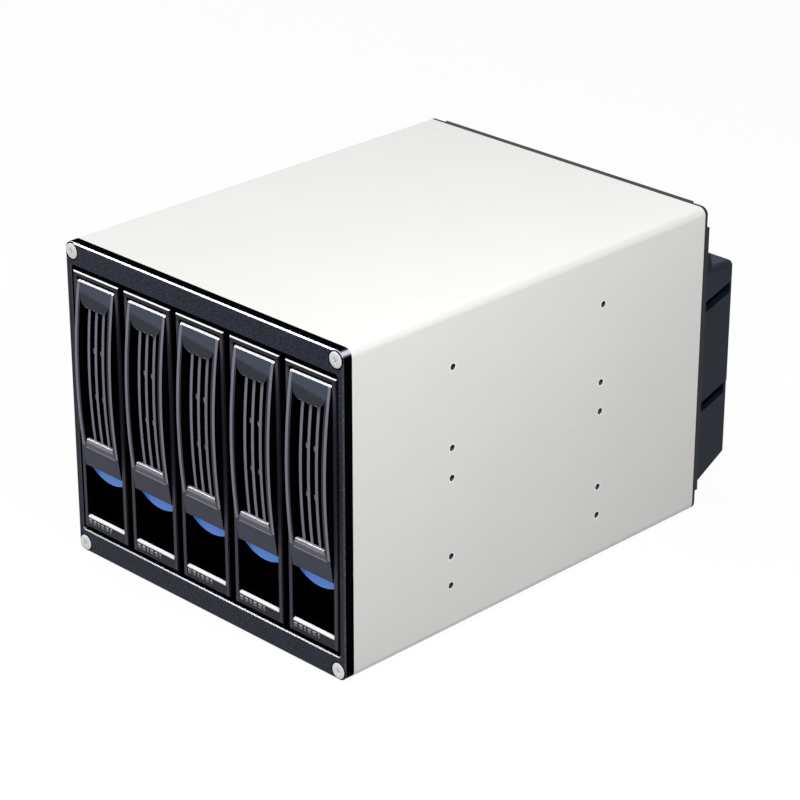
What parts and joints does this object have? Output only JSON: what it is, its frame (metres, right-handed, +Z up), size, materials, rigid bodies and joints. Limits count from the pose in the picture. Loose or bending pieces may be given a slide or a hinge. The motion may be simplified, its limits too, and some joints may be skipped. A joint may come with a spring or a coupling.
{
  "type": "hot swap drive cage",
  "caption": "Metal tube cage for hard drives with slide-out trays, bowed levers with blue release tabs, a black bezel and a hooded rear fan.",
  "frame": {"origin": "on the underside, on the centre line, midway between the two columns of side mounting holes", "axes": "+X to the right seen from the front, +Y from the bezel to the fan, +Z up"},
  "size_m": [0.146, 0.2182, 0.127],
  "materials": {
    "silver_case": "satin silver-white paint on aluminium",
    "black_bezel": "fine textured black",
    "silver_screw": "bright zinc",
    "black_plastic": "satin moulded",
    "tray_sheet": "black coated steel sheet",
    "silver_strip": "bright silver-white",
    "steel_screw": "plain steel",
    "blue_plastic": "glossy blue",
    "board": "green solder mask",
    "socket_plastic": "matt black",
    "brass_post": "plain",
    "black_sheet": "black coated sheet",
    "black_screw": "black oxide",
    "hood_plastic": "semi-gloss moulded",
    "fan_plastic": "semi-matt moulded"
  },
  "bodies": {
    "cage": {"backplane": "board", "bezel_screws": "silver_screw", "board_posts": "brass_post", "board_screws": "steel_screw", "case_shell": "silver_case", "cover_screws": "black_screw", "data_sockets": "socket_plastic", "drive_plugs": "socket_plastic", "fan_frame": "fan_plastic", "fan_grille": "hood_plastic", "fan_hood": "hood_plastic", "fan_screws": "black_screw", "front_bezel": "black_bezel", "guide_rack_lower": "black_plastic", "guide_rack_upper": "black_plastic", "hood_screws": "black_screw", "power_sockets": "socket_plastic", "rear_cover": "black_sheet", "rear_plate": "black_sheet", "rear_screws": "black_screw"},
    "tray_1": {"tray_front_1": "black_plastic", "tray_carrier_1": "tray_sheet", "sill_bar_1": "silver_strip", "lever_pin_1": "steel_screw"},
    "lever_body_1": {"lever_1": "black_plastic"},
    "button_body_1": {"release_button_1": "blue_plastic"},
    "tray_2": {"tray_front_2": "black_plastic", "tray_carrier_2": "tray_sheet", "sill_bar_2": "silver_strip", "lever_pin_2": "steel_screw"},
    "lever_body_2": {"lever_2": "black_plastic"},
    "button_body_2": {"release_button_2": "blue_plastic"},
    "tray_3": {"tray_front_3": "black_plastic", "tray_carrier_3": "tray_sheet", "sill_bar_3": "silver_strip", "lever_pin_3": "steel_screw"},
    "lever_body_3": {"lever_3": "black_plastic"},
    "button_body_3": {"release_button_3": "blue_plastic"},
    "tray_4": {"tray_front_4": "black_plastic", "tray_carrier_4": "tray_sheet", "sill_bar_4": "silver_strip", "lever_pin_4": "steel_screw"},
    "lever_body_4": {"lever_4": "black_plastic"},
    "button_body_4": {"release_button_4": "blue_plastic"},
    "tray_5": {"tray_front_5": "black_plastic", "tray_carrier_5": "tray_sheet", "sill_bar_5": "silver_strip", "lever_pin_5": "steel_screw"},
    "lever_body_5": {"lever_5": "black_plastic"},
    "button_body_5": {"release_button_5": "blue_plastic"},
    "rotor": {"fan_rotor": "fan_plastic"}
  },
  "joints": [
    {"name": "tray_slide_1", "type": "slide", "parent": "cage", "child": "tray_1", "axis": [0, -1, 0], "range_m": [0, 0.15]},
    {"name": "lever_hinge_1", "type": "hinge", "parent": "tray_1", "child": "lever_body_1", "pos_m": [-0.0568, -0.09012, 0.1109], "axis": [-1, 0, 0], "range_deg": [0, 70]},
    {"name": "button_press_1", "type": "slide", "parent": "tray_1", "child": "button_body_1", "axis": [0, 0, 1], "range_m": [0, 0.0025], "stiffness_N_per_m": 200, "springref_m": -0.001},
    {"name": "tray_slide_2", "type": "slide", "parent": "cage", "child": "tray_2", "axis": [0, -1, 0], "range_m": [0, 0.15]},
    {"name": "lever_hinge_2", "type": "hinge", "parent": "tray_2", "child": "lever_body_2", "pos_m": [-0.0284, -0.09012, 0.1109], "axis": [-1, 0, 0], "range_deg": [0, 70]},
    {"name": "button_press_2", "type": "slide", "parent": "tray_2", "child": "button_body_2", "axis": [0, 0, 1], "range_m": [0, 0.0025], "stiffness_N_per_m": 200, "springref_m": -0.001},
    {"name": "tray_slide_3", "type": "slide", "parent": "cage", "child": "tray_3", "axis": [0, -1, 0], "range_m": [0, 0.15]},
    {"name": "lever_hinge_3", "type": "hinge", "parent": "tray_3", "child": "lever_body_3", "pos_m": [0, -0.09012, 0.1109], "axis": [-1, 0, 0], "range_deg": [0, 70]},
    {"name": "button_press_3", "type": "slide", "parent": "tray_3", "child": "button_body_3", "axis": [0, 0, 1], "range_m": [0, 0.0025], "stiffness_N_per_m": 200, "springref_m": -0.001},
    {"name": "tray_slide_4", "type": "slide", "parent": "cage", "child": "tray_4", "axis": [0, -1, 0], "range_m": [0, 0.15]},
    {"name": "lever_hinge_4", "type": "hinge", "parent": "tray_4", "child": "lever_body_4", "pos_m": [0.0284, -0.09012, 0.1109], "axis": [-1, 0, 0], "range_deg": [0, 70]},
    {"name": "button_press_4", "type": "slide", "parent": "tray_4", "child": "button_body_4", "axis": [0, 0, 1], "range_m": [0, 0.0025], "stiffness_N_per_m": 200, "springref_m": -0.001},
    {"name": "tray_slide_5", "type": "slide", "parent": "cage", "child": "tray_5", "axis": [0, -1, 0], "range_m": [0, 0.15]},
    {"name": "lever_hinge_5", "type": "hinge", "parent": "tray_5", "child": "lever_body_5", "pos_m": [0.0568, -0.09012, 0.1109], "axis": [-1, 0, 0], "range_deg": [0, 70]},
    {"name": "button_press_5", "type": "slide", "parent": "tray_5", "child": "button_body_5", "axis": [0, 0, 1], "range_m": [0, 0.0025], "stiffness_N_per_m": 200, "springref_m": -0.001},
    {"name": "fan_spin", "type": "hinge", "parent": "cage", "child": "rotor", "pos_m": [0, 0.09517, 0.05745], "axis": [0, 1, 0], "continuous": true}
  ]
}
